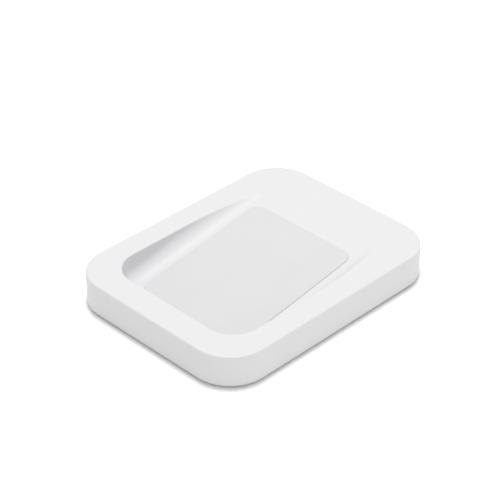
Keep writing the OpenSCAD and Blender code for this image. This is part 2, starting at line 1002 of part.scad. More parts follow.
top_housing();
cradle_liner();
base_plate();
mat_adhesive();
non_slip_mat();
transmitter_coil();
coil_lead_outer();
coil_lead_inner();
coil_adhesive();
ferrite_shield();
coil_carrier();
coil_thermistor();
main_pcb();
controller_ic();
driver_ics();
power_mosfets();
resonant_capacitors();
filter_inductor();
input_capacitors();
ceramic_capacitors();
chip_resistors();
sense_resistor();
crystal();
status_led();
light_pipe();
inlet_shell();
inlet_insulator();
inlet_contacts();
solder_joints();
housing_screws();
pcb_screws();
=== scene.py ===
import json
import math

import bmesh
import bpy
from mathutils import Matrix, Vector, kdtree
from mathutils.geometry import delaunay_2d_cdt


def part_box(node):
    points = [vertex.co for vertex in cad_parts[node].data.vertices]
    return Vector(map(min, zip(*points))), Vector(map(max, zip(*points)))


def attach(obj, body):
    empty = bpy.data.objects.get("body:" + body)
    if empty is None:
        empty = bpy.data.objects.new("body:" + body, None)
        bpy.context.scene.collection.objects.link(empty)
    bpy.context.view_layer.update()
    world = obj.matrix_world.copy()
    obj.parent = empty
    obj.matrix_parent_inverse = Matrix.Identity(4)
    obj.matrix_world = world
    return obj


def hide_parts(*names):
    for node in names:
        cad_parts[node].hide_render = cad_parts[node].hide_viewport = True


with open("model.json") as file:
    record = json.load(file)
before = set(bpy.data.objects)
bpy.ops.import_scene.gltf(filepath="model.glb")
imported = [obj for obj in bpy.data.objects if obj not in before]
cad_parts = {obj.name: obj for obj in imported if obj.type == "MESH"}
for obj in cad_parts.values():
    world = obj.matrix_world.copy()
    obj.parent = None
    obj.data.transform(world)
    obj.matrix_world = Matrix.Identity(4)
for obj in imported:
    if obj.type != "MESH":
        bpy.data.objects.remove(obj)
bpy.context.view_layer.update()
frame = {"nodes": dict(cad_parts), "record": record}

MM = 0.001

# ---------- dimensions, from the frame's boxes and the values of the CAD source ----------

shell_lo, shell_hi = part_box("top_housing")
BODY_W = shell_hi.x - shell_lo.x
BODY_L = shell_hi.y - shell_lo.y
TOP_Z = shell_hi.z
FOOT_Z = shell_lo.z
REAR_Y = shell_hi.y

CORNER_R = 15.7 * MM
TOP_EDGE_R = 0.7 * MM
FOOT_EDGE_R = 0.12 * MM
WALL_T = 2.0 * MM
TOP_T = 1.8 * MM

# The well. Its floor slopes up to the rear and meets the flat top at the run-out line.
WELL_W = 63.9 * MM
WELL_CORNER_R = 11.3 * MM
WELL_FLOOR_R = 5.5 * MM
WELL_SLOPE = math.radians(8.58)
WELL_SKIN = 1.2 * MM
WELL_RIM_R = 0.45 * MM
RUN_OUT_Y = REAR_Y - 21.15 * MM
FRONT_RIM = 11.2 * MM
CREASE_SOFT = 1.6 * MM
CREASE_RAMP = 7 * MM

LINER_W = 50 * MM
LINER_L = 62 * MM
LINER_T = 0.7 * MM
LINER_R = 5 * MM
LINER_FOOT_R = 0.1 * MM
LINER_EDGE_R = 0.28 * MM
LINER_SEAT = 0.4 * MM
LINER_GAP = 0.05 * MM
LINER_FORWARD = 3.2 * MM

MAT_R = 13.0 * MM
MAT_FOOT_R = 0.2 * MM
MAT_EDGE_R = 0.1 * MM

# Bosses for the housing screws, and heat stakes for the coil carrier
BASE_TOP = FOOT_Z + 1.5 * MM
BOSS_R = 2.4 * MM
BOSS_X = 33.6 * MM
BOSS_MID_Y = 2 * MM
SCREW_HEAD_R = 1.9 * MM
PILOT_R = 1.05 * MM
PILOT_DEPTH = 7.4 * MM
STAKE_R = 1.0 * MM
STAKE_HEAD_R = 1.5 * MM
STAKE_HEAD_T = 0.35 * MM
STAKE_HEAD_GAP = 0.05 * MM

# Coil stack, on the slope's axes
STACK_TOP = -1.25 * MM
STACK_Y = -26.5 * MM
EAR_X = 24.6 * MM
EAR_Y = 17.5 * MM
EAR_T = 0.8 * MM
COIL_TURNS = 9 + 20.5 / 360
COIL_START = math.radians(30)
COIL_R_IN = 10.5 * MM
COIL_R_OUT = 19.5 * MM
COIL_MID_Z = STACK_TOP - 0.5 * MM
STEPS_PER_TURN = 90
WIRE_R = 0.47 * MM
WIRE_SIDES = 10

# Inlet shell with its board tabs, and the two ports in the rear wall
INLET_W = 7.5 * MM
INLET_SHEET = 0.3 * MM
INLET_CHAMFER = 0.9 * MM
INLET_FOLD_R = 0.5 * MM
TAB_LAP = 0.05 * MM
TAB_START = 0.4 * MM
TAB_END = 2.0 * MM
INLET_PORT_W = 8.1 * MM
INLET_PORT_H = 3.2 * MM
INLET_PORT_R = 1 * MM
INLET_PORT_CHAMFER = 0.25 * MM
PIPE_PORT_D = 2.1 * MM
PIPE_PORT_R = 1.0499 * MM
PIPE_PORT_CHAMFER = 0.12 * MM

SLOPE_COS = math.cos(WELL_SLOPE)
SLOPE_SIN = math.sin(WELL_SLOPE)
WELL_FRONT = -(RUN_OUT_Y + BODY_L / 2 - FRONT_RIM) * SLOPE_COS
LINER_Y = (WELL_FRONT + WELL_FLOOR_R) / 2 - LINER_FORWARD

# Slope axes to body axes: y runs up the slope to 0 at the run-out line
SLOPE = Matrix.Translation((0, RUN_OUT_Y, TOP_Z)) @ Matrix.Rotation(WELL_SLOPE, 4, "X")


# ---------- mesh kit ----------

# Points closer than this, in metres, are one point
SAME_POINT = 1e-7


class Skin:
    """Points with their true surface normals, and the faces between them."""

    def __init__(self, place=None):
        self.place = place or Matrix.Identity(4)
        self.turn = self.place.to_3x3()
        self.points = []
        self.normals = []
        self.faces = []
        self.index = {}

    def point(self, p, normal=None):
        """Index of the point at p, which is made only if there is none there yet."""
        p = self.place @ Vector(p)
        key = tuple(round(c / SAME_POINT) for c in p)
        if key not in self.index:
            self.index[key] = len(self.points)
            self.points.append(p)
            self.normals.append(None if normal is None else (self.turn @ Vector(normal)).normalized())
        return self.index[key]

    def face(self, corners):
        loop = [c for k, c in enumerate(corners) if c != corners[k - 1]]
        if len(set(loop)) > 2:
            self.faces.append(loop)

    def grid(self, rows, closed=False):
        """Faces between each row of points and the next."""
        for a, b in zip(rows, rows[1:]):
            for k in range(len(a) if closed else len(a) - 1):
                n = (k + 1) % len(a)
                self.face([a[k], a[n], b[n], b[k]])

    def fill(self, *loops):
        """Flat area inside the first loop and outside the others, seen from above."""
        loops = [[c for k, c in enumerate(loop) if c != loop[k - 1]] for loop in loops]
        ids = [c for loop in loops for c in loop]
        flat = [Vector((self.points[c].x, self.points[c].y)) for c in ids]
        sides = []
        for loop in loops:
            first = len(sides)
            sides += [(first + k, first + (k + 1) % len(loop)) for k in range(len(loop))]
        points, _, triangles, origins = delaunay_2d_cdt(flat, sides, [], 0, 1e-9)[:4]
        for tri in triangles:
            middle = sum((points[v] for v in tri), Vector((0, 0))) / 3
            if is_inside(middle, flat, sides):
                self.face([ids[origins[v][0]] for v in tri])


def is_inside(p, flat, sides):
    """Whether a line to the right of p crosses the sides an odd number of times."""
    inside = False
    for i, j in sides:
        a, b = flat[i], flat[j]
        if (a.y > p.y) != (b.y > p.y) and p.x < a.x + (p.y - a.y) / (b.y - a.y) * (b.x - a.x):
            inside = not inside
    return inside


def link_object(name, mesh):
    obj = bpy.data.objects.new(name, mesh)
    bpy.context.scene.collection.objects.link(obj)
    return obj


def skin_object(name, skin):
    mesh = bpy.data.meshes.new(name)
    mesh.from_pydata([tuple(p) for p in skin.points], [], skin.faces)
    bm = bmesh.new()
    bm.from_mesh(mesh)
    bmesh.ops.remove_doubles(bm, verts=bm.verts, dist=SAME_POINT)
    bmesh.ops.dissolve_degenerate(bm, edges=bm.edges, dist=SAME_POINT / 10)
    bmesh.ops.recalc_face_normals(bm, faces=bm.faces)
    bm.to_mesh(mesh)
    bm.free()
    return link_object(name, mesh)


def combine(obj, bm, operation):
    """Joins the solids in bm to obj with UNION, or cuts them out with DIFFERENCE."""
    bmesh.ops.recalc_face_normals(bm, faces=bm.faces)
    mesh = bpy.data.meshes.new(operation)
    bm.to_mesh(mesh)
    bm.free()
    helper = link_object(operation, mesh)
    boolean = obj.modifiers.new(operation, "BOOLEAN")
    boolean.operation = operation
    boolean.solver = "EXACT"
    boolean.object = helper
    depsgraph = bpy.context.evaluated_depsgraph_get()
    result = bpy.data.meshes.new_from_object(obj.evaluated_get(depsgraph))
    obj.modifiers.clear()
    obj.data = result
    bpy.data.objects.remove(helper)


def set_normals(obj, skin, fits=0.75, smooth=0.8):
    """Each face corner takes the true normal of its point in the skin where there is
    one that suits the face, or else the mean of the faces there that turn little from
    it. fits and smooth are the least cosines to the face's own normal."""
    mesh = obj.data
    known = [(p, n) for p, n in zip(skin.points, skin.normals) if n is not None]
    tree = kdtree.KDTree(len(known))
    for k, (p, n) in enumerate(known):
        tree.insert(p, k)
    tree.balance()
    true = {}
    for v in mesh.vertices:
        _, k, distance = tree.find(v.co)
        if distance < 2 * SAME_POINT:
            true[v.index] = known[k][1]
    around = [[] for v in mesh.vertices]
    for poly in mesh.polygons:
        for v in poly.vertices:
            around[v].append(poly.index)
    face_normals = [p.normal.copy() for p in mesh.polygons]
    areas = [p.area for p in mesh.polygons]
    corners = []
    for poly in mesh.polygons:
        own = face_normals[poly.index]
        for v in poly.vertices:
            if v in true and true[v].dot(own) > fits:
                corners.append(true[v])
                continue
            total = Vector()
            for f in around[v]:
                if face_normals[f].dot(own) > smooth:
                    total += face_normals[f] * areas[f]
            corners.append(total.normalized() if total.length > 0 else own)
    mesh.polygons.foreach_set("use_smooth", [True] * len(mesh.polygons))
    mesh.normals_split_custom_set([tuple(n) for n in corners])
    mesh.update()


def outline(w, l, r, arc=24, side=8):
    """Rounded rectangle as (centre, outward direction) pairs, anticlockwise, with arc
    steps round each corner and side steps along each side."""
    corners = [(1, 1, 0), (-1, 1, 90), (-1, -1, 180), (1, -1, 270)]
    pairs = []
    for n, (sx, sy, start) in enumerate(corners):
        here = Vector((sx * (w / 2 - r), sy * (l / 2 - r)))
        for k in range(arc + 1):
            a = math.radians(start + 90 * k / arc)
            pairs.append((here, Vector((math.cos(a), math.sin(a)))))
        nx, ny, _ = corners[(n + 1) % 4]
        there = Vector((nx * (w / 2 - r), ny * (l / 2 - r)))
        out = pairs[-1][1]
        for k in range(1, side):
            pairs.append((here.lerp(there, k / side), out))
    return pairs


def ring(skin, pairs, radius, z, tilt=None):
    """Loop of points at a height; tilt is the angle of the normal above level."""
    loop = []
    for centre, out in pairs:
        p = centre + out * radius
        n = None
        if tilt is not None:
            n = (out.x * math.cos(tilt), out.y * math.cos(tilt), math.sin(tilt))
        loop.append(skin.point((p.x, p.y, z), n))
    return loop


def edge_rings(skin, pairs, radius, edge, z, up, steps):
    """Rings round the edge of a wall, upwards: to the top face at z where up is 1, and
    from the underside at z where up is -1."""
    rows = []
    for k in range(steps + 1):
        a = math.pi / 2 * (k / steps if up > 0 else 1 - k / steps)
        height = z - up * edge * (1 - math.sin(a))
        rows.append(ring(skin, pairs, radius - edge * (1 - math.cos(a)), height, up * a))
    return rows


def soft_slab(name, w, l, r, z0, z1, edge_lo, edge_hi, place=None):
    """Closed slab with rounded corners and rounded lower and upper edges."""
    skin = Skin(place)
    pairs = outline(w, l, r, 14, 6)
    rows = edge_rings(skin, pairs, r, edge_lo, z0, -1, 5) + edge_rings(skin, pairs, r, edge_hi, z1, 1, 5)
    skin.grid(rows, closed=True)
    skin.faces.append(rows[0][::-1])
    inner = [ring(skin, pairs, r - edge_hi - share * r, z1, math.pi / 2) for share in (0.15, 0.45, 0.75)]
    skin.grid([rows[-1]] + inner, closed=True)
    skin.faces.append(inner[-1])
    obj = skin_object(name, skin)
    set_normals(obj, skin)
    return obj


def cylinder(bm, radius, x, y, z0, z1):
    bmesh.ops.create_cone(
        bm, cap_ends=True, segments=40, radius1=radius, radius2=radius, depth=z1 - z0,
        matrix=Matrix.Translation((x, y, (z0 + z1) / 2)))


def lofted_solid(bm, rows):
    """Closed solid through loops of points, closed flat at its first and last loop."""
    rows = [[bm.verts.new(p) for p in row] for row in rows]
    for a, b in zip(rows, rows[1:]):
        for k in range(len(a)):
            n = (k + 1) % len(a)
            bm.faces.new((a[k], a[n], b[n], b[k]))
    bm.faces.new(rows[0])
    bm.faces.new(rows[-1])


def turned_solid(bm, profile, place, segments=24):
    """Closed solid turned about z from (radius, height) points, from foot to top."""
    angles = [2 * math.pi * k / segments for k in range(segments)]
    lofted_solid(bm, [
        [place @ Vector((r * math.cos(a), r * math.sin(a), z)) for a in angles]
        for r, z in profile])


# ---------- the well ----------

WELL_STEPS = 48
# The search for the run at which a wall meets a plane: its limit, and how often it halves
RUN_LIMIT = 30 * MM
HALVINGS = 60


def soft_corner(skin, low, corner, away, w, steps=6):
    """Points that round a corner from low, a point and its normal, to a level face that
    runs on from the corner along away."""
    p0, n0 = low
    p2 = corner + away * w
    n2 = Vector((0, 0, 1))
    ids = []
    for k in range(1, steps + 1):
        t = k / steps
        p = p0 * (1 - t) ** 2 + corner * 2 * t * (1 - t) + p2 * t * t
        ids.append(skin.point(p, (n0 * (1 - t) + n2 * t).normalized()))
    return ids


def well_rows(skin, grow, plane_z, rim, crease, fine):
    """Builds fillet, walls and rim of the well up to a level plane, with every surface
    grown outwards by grow. rim and crease are the widths of the soft edges on the plane,
    and fine is the number of steps.
    Returns the loop round the flat floor and the loop on the plane."""
    half = WELL_W / 2 + grow
    f = WELL_FLOOR_R + grow
    r = WELL_CORNER_R + grow
    corner_y = WELL_FRONT - grow + r
    start_y = (plane_z - TOP_Z + grow * SLOPE_COS) / SLOPE_SIN
    inner_x = half - f

    # Feet of the fillet, with the way out of the well: left side, front, right side.
    # The steps are shorter near the run-out, where the wall is low.
    side_ys = [start_y + (corner_y - start_y) * (k / fine) ** 1.8 for k in range(fine + 1)]
    samples = [((-inner_x, y), (-1, 0)) for y in side_ys]
    turn = fine // 3
    for sx in (-1, 1):
        arc = []
        for k in range(turn + 1):
            a = math.radians(180 + 90 * k / turn if sx < 0 else 270 + 90 * k / turn)
            o = (math.cos(a), math.sin(a))
            arc.append(((sx * (half - r) + (r - f) * o[0], corner_y + (r - f) * o[1]), o))
        samples += arc[1:] if sx < 0 else arc[:-1]
        if sx < 0:
            x0 = half - r
            front = corner_y - (r - f)
            samples += [((-x0 + 2 * x0 * k / turn, front), (0, -1)) for k in range(1, turn)]
    samples += [((inner_x, y), (1, 0)) for y in reversed(side_ys)]

    def section(base, out, run):
        """Point and its normal at a run along the section, up the fillet and the wall."""
        bend = f * math.pi / 2
        t = min(run / f, math.pi / 2)
        across = f * math.sin(t)
        up = f * (1 - math.cos(t)) + max(0, run - bend)
        p = Vector((base[0] + out[0] * across, base[1] + out[1] * across, up - grow))
        n = Vector((-out[0] * math.sin(t), -out[1] * math.sin(t), math.cos(t)))
        return SLOPE @ p, SLOPE.to_3x3() @ n

    # Each column's run ends at the plane, which is found by halving
    columns = []
    for base, out in samples:
        below, top = 0.0, RUN_LIMIT
        if section(base, out, 0)[0].z > plane_z - 1e-9:
            top = 0.0
        for _ in range(HALVINGS if top else 0):
            mid = (below + top) / 2
            below, top = (mid, top) if section(base, out, mid)[0].z < plane_z else (below, mid)
        w = min(rim, 0.45 * top)
        column = [skin.point(*section(base, out, (top - w) * k / fine)) for k in range(fine + 1)]
        away = Vector((out[0], out[1] * SLOPE_COS, 0)).normalized()
        column += soft_corner(skin, section(base, out, top - w), section(base, out, top)[0], away, w)
        columns.append(column)
    skin.grid(columns)

    # The crease at the run-out widens from nothing at each side
    crease_rows = []
    flat = SLOPE.to_3x3() @ Vector((0, 0, 1))
    count = fine // 2
    for k in range(count + 1):
        x = inner_x * (1 - 2 * k / count)
        ramp = min(1.0, (inner_x - abs(x)) / CREASE_RAMP)
        w = crease * ramp * ramp * (3 - 2 * ramp)
        line = SLOPE @ Vector((x, start_y, -grow))
        low = SLOPE @ Vector((x, start_y - w, -grow))
        first = skin.point(low, flat)
        crease_rows.append([first] + soft_corner(skin, (low, flat), line, Vector((0, 1, 0)), w))
    skin.grid(crease_rows)
    floor_loop = [column[0] for column in columns] + [row[0] for row in crease_rows[1:-1]]
    rim_loop = [column[-1] for column in columns] + [row[-1] for row in crease_rows[1:-1]]
    return floor_loop, rim_loop


# ---------- pieces ----------

def port_cutter(bm, w, h, r, x, z, chamfer):
    """Rounded slot through the rear wall, with a chamfer at the outer face."""
    out_of_wall = Matrix.Translation((x, REAR_Y, z)) @ Matrix.Rotation(-math.pi / 2, 4, "X")
    inside, outside = WALL_T + 1 * MM, 0.6 * MM
    depths = [(-inside, 0), (-chamfer, 0), (0, chamfer), (outside, chamfer + outside)]
    pairs = outline(w, h, r, 8, 1)
    lofted_solid(bm, [
        [out_of_wall @ (centre + out * (r + extra)).to_3d() + out_of_wall.to_3x3() @ Vector((0, 0, depth))
         for centre, out in pairs]
        for depth, extra in depths])


def boss_places():
    """Centres of the six screw bosses, from the box round the heads of their screws."""
    lo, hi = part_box("housing_screws")
    front = (BOSS_X, lo.y + SCREW_HEAD_R)
    middle = (hi.x - SCREW_HEAD_R, BOSS_MID_Y)
    rear = (BOSS_X, hi.y - SCREW_HEAD_R)
    return [(s * x, y) for x, y in (front, middle, rear) for s in (-1, 1)]


def stake_profile():
    """(radius, height) points of a heat stake, from its domed head up into the skin."""
    head_z = STACK_TOP - EAR_T - STAKE_HEAD_GAP - STAKE_HEAD_T
    profile = []
    for k in range(7):
        a = math.pi * (k / 6 - 0.5)
        profile.append((STAKE_HEAD_R - STAKE_HEAD_T * 0.5 * (1 - math.cos(a)),
                        head_z + STAKE_HEAD_T * 0.5 * (1 + math.sin(a))))
    return profile + [(STAKE_R, head_z + STAKE_HEAD_T), (STAKE_R, -WELL_SKIN / 2)]


def make_housing():
    """Upper shell: walls, top, well with the liner's seat, bosses, stakes and ports."""
    skin = Skin()
    pairs = outline(BODY_W, BODY_L, CORNER_R)
    ceiling = TOP_Z - TOP_T
    rows = [
        ring(skin, pairs, CORNER_R - WALL_T, ceiling),
        ring(skin, pairs, CORNER_R - WALL_T, FOOT_Z),
    ]
    rows += edge_rings(skin, pairs, CORNER_R, FOOT_EDGE_R, FOOT_Z, -1, 5)
    rows += edge_rings(skin, pairs, CORNER_R, TOP_EDGE_R, TOP_Z, 1, 12)
    skin.grid(rows, closed=True)

    floor_loop, rim_loop = well_rows(skin, 0.0, TOP_Z, WELL_RIM_R, CREASE_SOFT, WELL_STEPS)
    skin.fill(rows[-1], rim_loop)

    seat_pairs = outline(LINER_W + 2 * LINER_GAP, LINER_L + 2 * LINER_GAP, LINER_R + LINER_GAP, 14, 4)
    seat_pairs = [(c + Vector((0, LINER_Y)), o) for c, o in seat_pairs]
    seat_rows = []
    for z in (0.0, -LINER_SEAT):
        seat_rows.append([
            skin.point(SLOPE @ Vector((*(c + o * (LINER_R + LINER_GAP)), z)))
            for c, o in seat_pairs])
    skin.grid(seat_rows, closed=True)
    skin.faces.append(seat_rows[1])
    skin.fill(floor_loop, seat_rows[0])

    under_floor, under_rim = well_rows(skin, WELL_SKIN, ceiling, 0.0, 0.0, WELL_STEPS // 2)
    skin.fill(rows[0], under_rim)
    skin.fill(under_floor)
    shell = skin_object("housing_shell", skin)

    added = bmesh.new()
    for x, y in boss_places():
        cylinder(added, BOSS_R, x, y, BASE_TOP, TOP_Z - TOP_T / 2)
    for sx in (-1, 1):
        for sy in (-1, 1):
            place = SLOPE @ Matrix.Translation((sx * EAR_X, STACK_Y + sy * EAR_Y, 0))
            turned_solid(added, stake_profile(), place)
    combine(shell, added, "UNION")

    removed = bmesh.new()
    for x, y in boss_places():
        cylinder(removed, PILOT_R, x, y, BASE_TOP - 1 * MM, BASE_TOP + PILOT_DEPTH)
    lo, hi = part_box("inlet_shell")
    port_cutter(removed, INLET_PORT_W, INLET_PORT_H, INLET_PORT_R, 0, (lo.z + hi.z) / 2,
                INLET_PORT_CHAMFER)
    lo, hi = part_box("light_pipe")
    port_cutter(removed, PIPE_PORT_D, PIPE_PORT_D, PIPE_PORT_R, (lo.x + hi.x) / 2, (lo.z + hi.z) / 2,
                PIPE_PORT_CHAMFER)
    combine(shell, removed, "DIFFERENCE")
    set_normals(shell, skin)
    return shell


def make_liner():
    place = SLOPE @ Matrix.Translation((0, LINER_Y, 0))
    return soft_slab("cradle_liner_soft", LINER_W, LINER_L, LINER_R, -LINER_SEAT,
                     LINER_T - LINER_SEAT, LINER_FOOT_R, LINER_EDGE_R, place)


def make_mat():
    lo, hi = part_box("non_slip_mat")
    return soft_slab("non_slip_mat_soft", hi.x - lo.x, hi.y - lo.y, MAT_R, lo.z, hi.z,
                     MAT_FOOT_R, MAT_EDGE_R)


def tube_along(name, path, radius, sides, up):
    """Round tube with domed ends along a list of points."""
    skin = Skin()
    rows = []
    dome = 3
    count = len(path)
    # Each station is an index in the path, and in radii how far ahead and how wide
    stations = [(0, -math.sin(math.pi / 2 * (1 - k / dome)), math.cos(math.pi / 2 * (1 - k / dome)))
                for k in range(dome)]
    stations += [(k, 0, 1) for k in range(count)]
    stations += [(count - 1, math.sin(math.pi / 2 * k / dome), math.cos(math.pi / 2 * k / dome))
                 for k in range(1, dome + 1)]
    for k, ahead, width in stations:
        t = (path[min(k + 1, count - 1)] - path[max(k - 1, 0)]).normalized()
        side = t.cross(up).normalized()
        high = side.cross(t)
        centre = path[k] + t * radius * ahead
        row = []
        for j in range(sides):
            a = 2 * math.pi * j / sides
            n = side * math.cos(a) + high * math.sin(a)
            row.append(skin.point(centre + n * radius * max(width, 1e-6), n * width + t * ahead))
        rows.append(row)
    skin.grid(rows, closed=True)
    obj = skin_object(name, skin)
    set_normals(obj, skin)
    return obj


def make_coil():
    """Flat winding of one wire, from the inside outwards."""
    count = int(COIL_TURNS * STEPS_PER_TURN)
    path = []
    for k in range(count + 1):
        u = k / count
        r = COIL_R_IN + (COIL_R_OUT - COIL_R_IN) * u
        a = COIL_START + 2 * math.pi * COIL_TURNS * u
        path.append(SLOPE @ Vector((r * math.cos(a), STACK_Y + r * math.sin(a), COIL_MID_Z)))
    up = SLOPE.to_3x3() @ Vector((0, 0, 1))
    return tube_along("transmitter_coil_turns", path, WIRE_R, WIRE_SIDES, up)


def rounded_loop(corners, radius, steps=5):
    """Closed outline through 2D corners, each rounded with the same radius, as points
    with their outward directions."""
    loop = []
    for k, c in enumerate(corners):
        c = Vector(c)
        a = (Vector(corners[k - 1]) - c).normalized()
        b = (Vector(corners[(k + 1) % len(corners)]) - c).normalized()
        half = a.angle(b) / 2
        cut = radius / math.tan(half)
        centre = c + (a + b).normalized() * radius / math.sin(half)
        va = c + a * cut - centre
        vb = c + b * cut - centre
        sweep = va.angle(vb)
        for j in range(steps + 1):
            t = j / steps
            v = (va * math.sin((1 - t) * sweep) + vb * math.sin(t * sweep)) / math.sin(sweep)
            loop.append((centre + v, v.normalized()))
    return loop


def make_inlet_shell():
    """Folded sheet shell: rounded folds, a rounded mouth and two board tabs."""
    lo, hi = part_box("inlet_shell")
    right, top = INLET_W / 2, (hi.z - lo.z) / 2
    mid_z = (lo.z + hi.z) / 2
    loop = rounded_loop([
        (right, top), (-right, top), (-right, -top + INLET_CHAMFER), (-right + INLET_CHAMFER, -top),
        (right - INLET_CHAMFER, -top), (right, -top + INLET_CHAMFER)], INLET_FOLD_R)
    skin = Skin()

    def row(inset, y, n_out, n_y):
        ids = []
        for p, n in loop:
            q = p - n * inset
            ids.append(skin.point((q.x, y, mid_z + q.y), (n.x * n_out, n_y, n.y * n_out)))
        return ids

    lip = INLET_SHEET / 2
    rows = [row(0, lo.y, 1, 0)]
    for k in range(7):
        a = math.pi * k / 6
        rows.append(row(lip - lip * math.cos(a), hi.y - lip + lip * math.sin(a), math.cos(a), math.sin(a)))
    rows.append(row(INLET_SHEET, lo.y, -1, 0))
    rows.append(rows[0])
    skin.grid(rows, closed=True)
    shell = skin_object("inlet_shell_folded", skin)

    # Each tab runs down the side of the shell and turns out onto the board
    inner = right - TAB_LAP
    bend = inner + INLET_SHEET
    section = [(inner, lo.z), (hi.x, lo.z), (hi.x, lo.z + INLET_SHEET), (bend, lo.z + INLET_SHEET),
               (bend, mid_z), (inner, mid_z)]
    tabs = bmesh.new()
    for s in (-1, 1):
        lofted_solid(tabs, [[(s * x, y, z) for x, z in section] for y in (lo.y + TAB_START, lo.y + TAB_END)])
    combine(shell, tabs, "UNION")
    set_normals(shell, skin)
    return shell


# ---------- materials ----------

def material(name, colour, rough, metal=0.0, spread=0.04, blotch=120.0, grain=5000.0, depth=2e-5,
             rough_spread=0.06, specular=0.5):
    """Principled material whose colour and roughness drift a little over the surface,
    with a fine grain. blotch and grain are cycles per metre; depth is in metres."""
    mat = bpy.data.materials.new(name)
    mat.use_nodes = True
    nt = mat.node_tree
    bsdf = nt.nodes["Principled BSDF"]
    bsdf.inputs["Metallic"].default_value = metal
    bsdf.inputs["Specular IOR Level"].default_value = specular
    where = nt.nodes.new("ShaderNodeTexCoord").outputs["Object"]

    drift = nt.nodes.new("ShaderNodeTexNoise")
    drift.inputs["Scale"].default_value = blotch
    drift.inputs["Detail"].default_value = 3
    nt.links.new(where, drift.inputs["Vector"])
    tint = nt.nodes.new("ShaderNodeMix")
    tint.data_type = "RGBA"
    tint.inputs["A"].default_value = (*(c * (1 - spread) for c in colour), 1)
    tint.inputs["B"].default_value = (*(min(1, c * (1 + spread)) for c in colour), 1)
    nt.links.new(drift.outputs["Fac"], tint.inputs["Factor"])
    nt.links.new(tint.outputs["Result"], bsdf.inputs["Base Color"])

    fine = nt.nodes.new("ShaderNodeTexNoise")
    fine.inputs["Scale"].default_value = grain
    fine.inputs["Detail"].default_value = 6
    nt.links.new(where, fine.inputs["Vector"])
    dull = nt.nodes.new("ShaderNodeMapRange")
    dull.inputs["To Min"].default_value = max(0.02, rough - rough_spread)
    dull.inputs["To Max"].default_value = min(1, rough + rough_spread)
    nt.links.new(fine.outputs["Fac"], dull.inputs["Value"])
    nt.links.new(dull.outputs["Result"], bsdf.inputs["Roughness"])
    bump = nt.nodes.new("ShaderNodeBump")
    bump.inputs["Strength"].default_value = 1.0
    bump.inputs["Distance"].default_value = depth
    nt.links.new(fine.outputs["Fac"], bump.inputs["Height"])
    nt.links.new(bump.outputs["Normal"], bsdf.inputs["Normal"])
    return mat


LOOKS = {
    "housing_white": dict(colour=(0.66, 0.655, 0.665), rough=0.48, spread=0.006, blotch=60, grain=4200,
                          depth=6e-6, rough_spread=0.05, specular=0.4),
    "cradle_silicone": dict(colour=(0.608, 0.605, 0.613), rough=0.72, spread=0.02, blotch=90, grain=2600,
                            depth=2.5e-5, specular=0.3),
    "base_white": dict(colour=(0.66, 0.66, 0.67), rough=0.6, spread=0.012, grain=3000),
    "adhesive_film": dict(colour=(0.70, 0.62, 0.42), rough=0.35, spread=0.05, grain=1500),
    # The mat's dark grey is partly the silicone's own colour and partly painted shade: it is set darker so
    # that the gap under the body shows a deeper shadow line.
    "mat_silicone": dict(colour=(0.22, 0.22, 0.23), rough=0.8, spread=0.03, blotch=80, grain=1800,
                         depth=5e-5, specular=0.3),
    "ferrite": dict(colour=(0.045, 0.045, 0.05), rough=0.55, spread=0.15, grain=3500, depth=3e-5),
    "carrier_black": dict(colour=(0.022, 0.022, 0.025), rough=0.5, spread=0.08, grain=4000),
    "sensor_glass": dict(colour=(0.03, 0.035, 0.045), rough=0.25, spread=0.1),
    "chip_black": dict(colour=(0.016, 0.016, 0.018), rough=0.6, spread=0.15, grain=9000, depth=8e-6),
    "capacitor_ceramic": dict(colour=(0.36, 0.24, 0.13), rough=0.45, spread=0.08, grain=7000),
    "can_aluminium": dict(colour=(0.78, 0.79, 0.80), rough=0.28, metal=1.0, spread=0.03, grain=6000,
                          depth=3e-6),
    "plated_steel": dict(colour=(0.60, 0.61, 0.63), rough=0.26, metal=1.0, grain=7000, depth=3e-6),
    "lamp_body": dict(colour=(0.80, 0.80, 0.72), rough=0.3, spread=0.03),
    "contact_gold": dict(colour=(0.83, 0.58, 0.20), rough=0.25, metal=1.0, spread=0.05, depth=3e-6),
    "solder": dict(colour=(0.62, 0.63, 0.65), rough=0.3, metal=1.0, spread=0.06, blotch=1500,
                   grain=4000),
    "screw_steel": dict(colour=(0.50, 0.51, 0.53), rough=0.34, metal=1.0, spread=0.06, grain=6000,
                        depth=5e-6),
}
MASK_GREEN = (0.012, 0.13, 0.055)
MASK_OVER_COPPER = (0.025, 0.20, 0.085)
VIA_TIN = (0.55, 0.56, 0.52)
# Cycles per metre on the board
TRACK_PATCHES = 170
TRACKS = 380
VIAS = 330


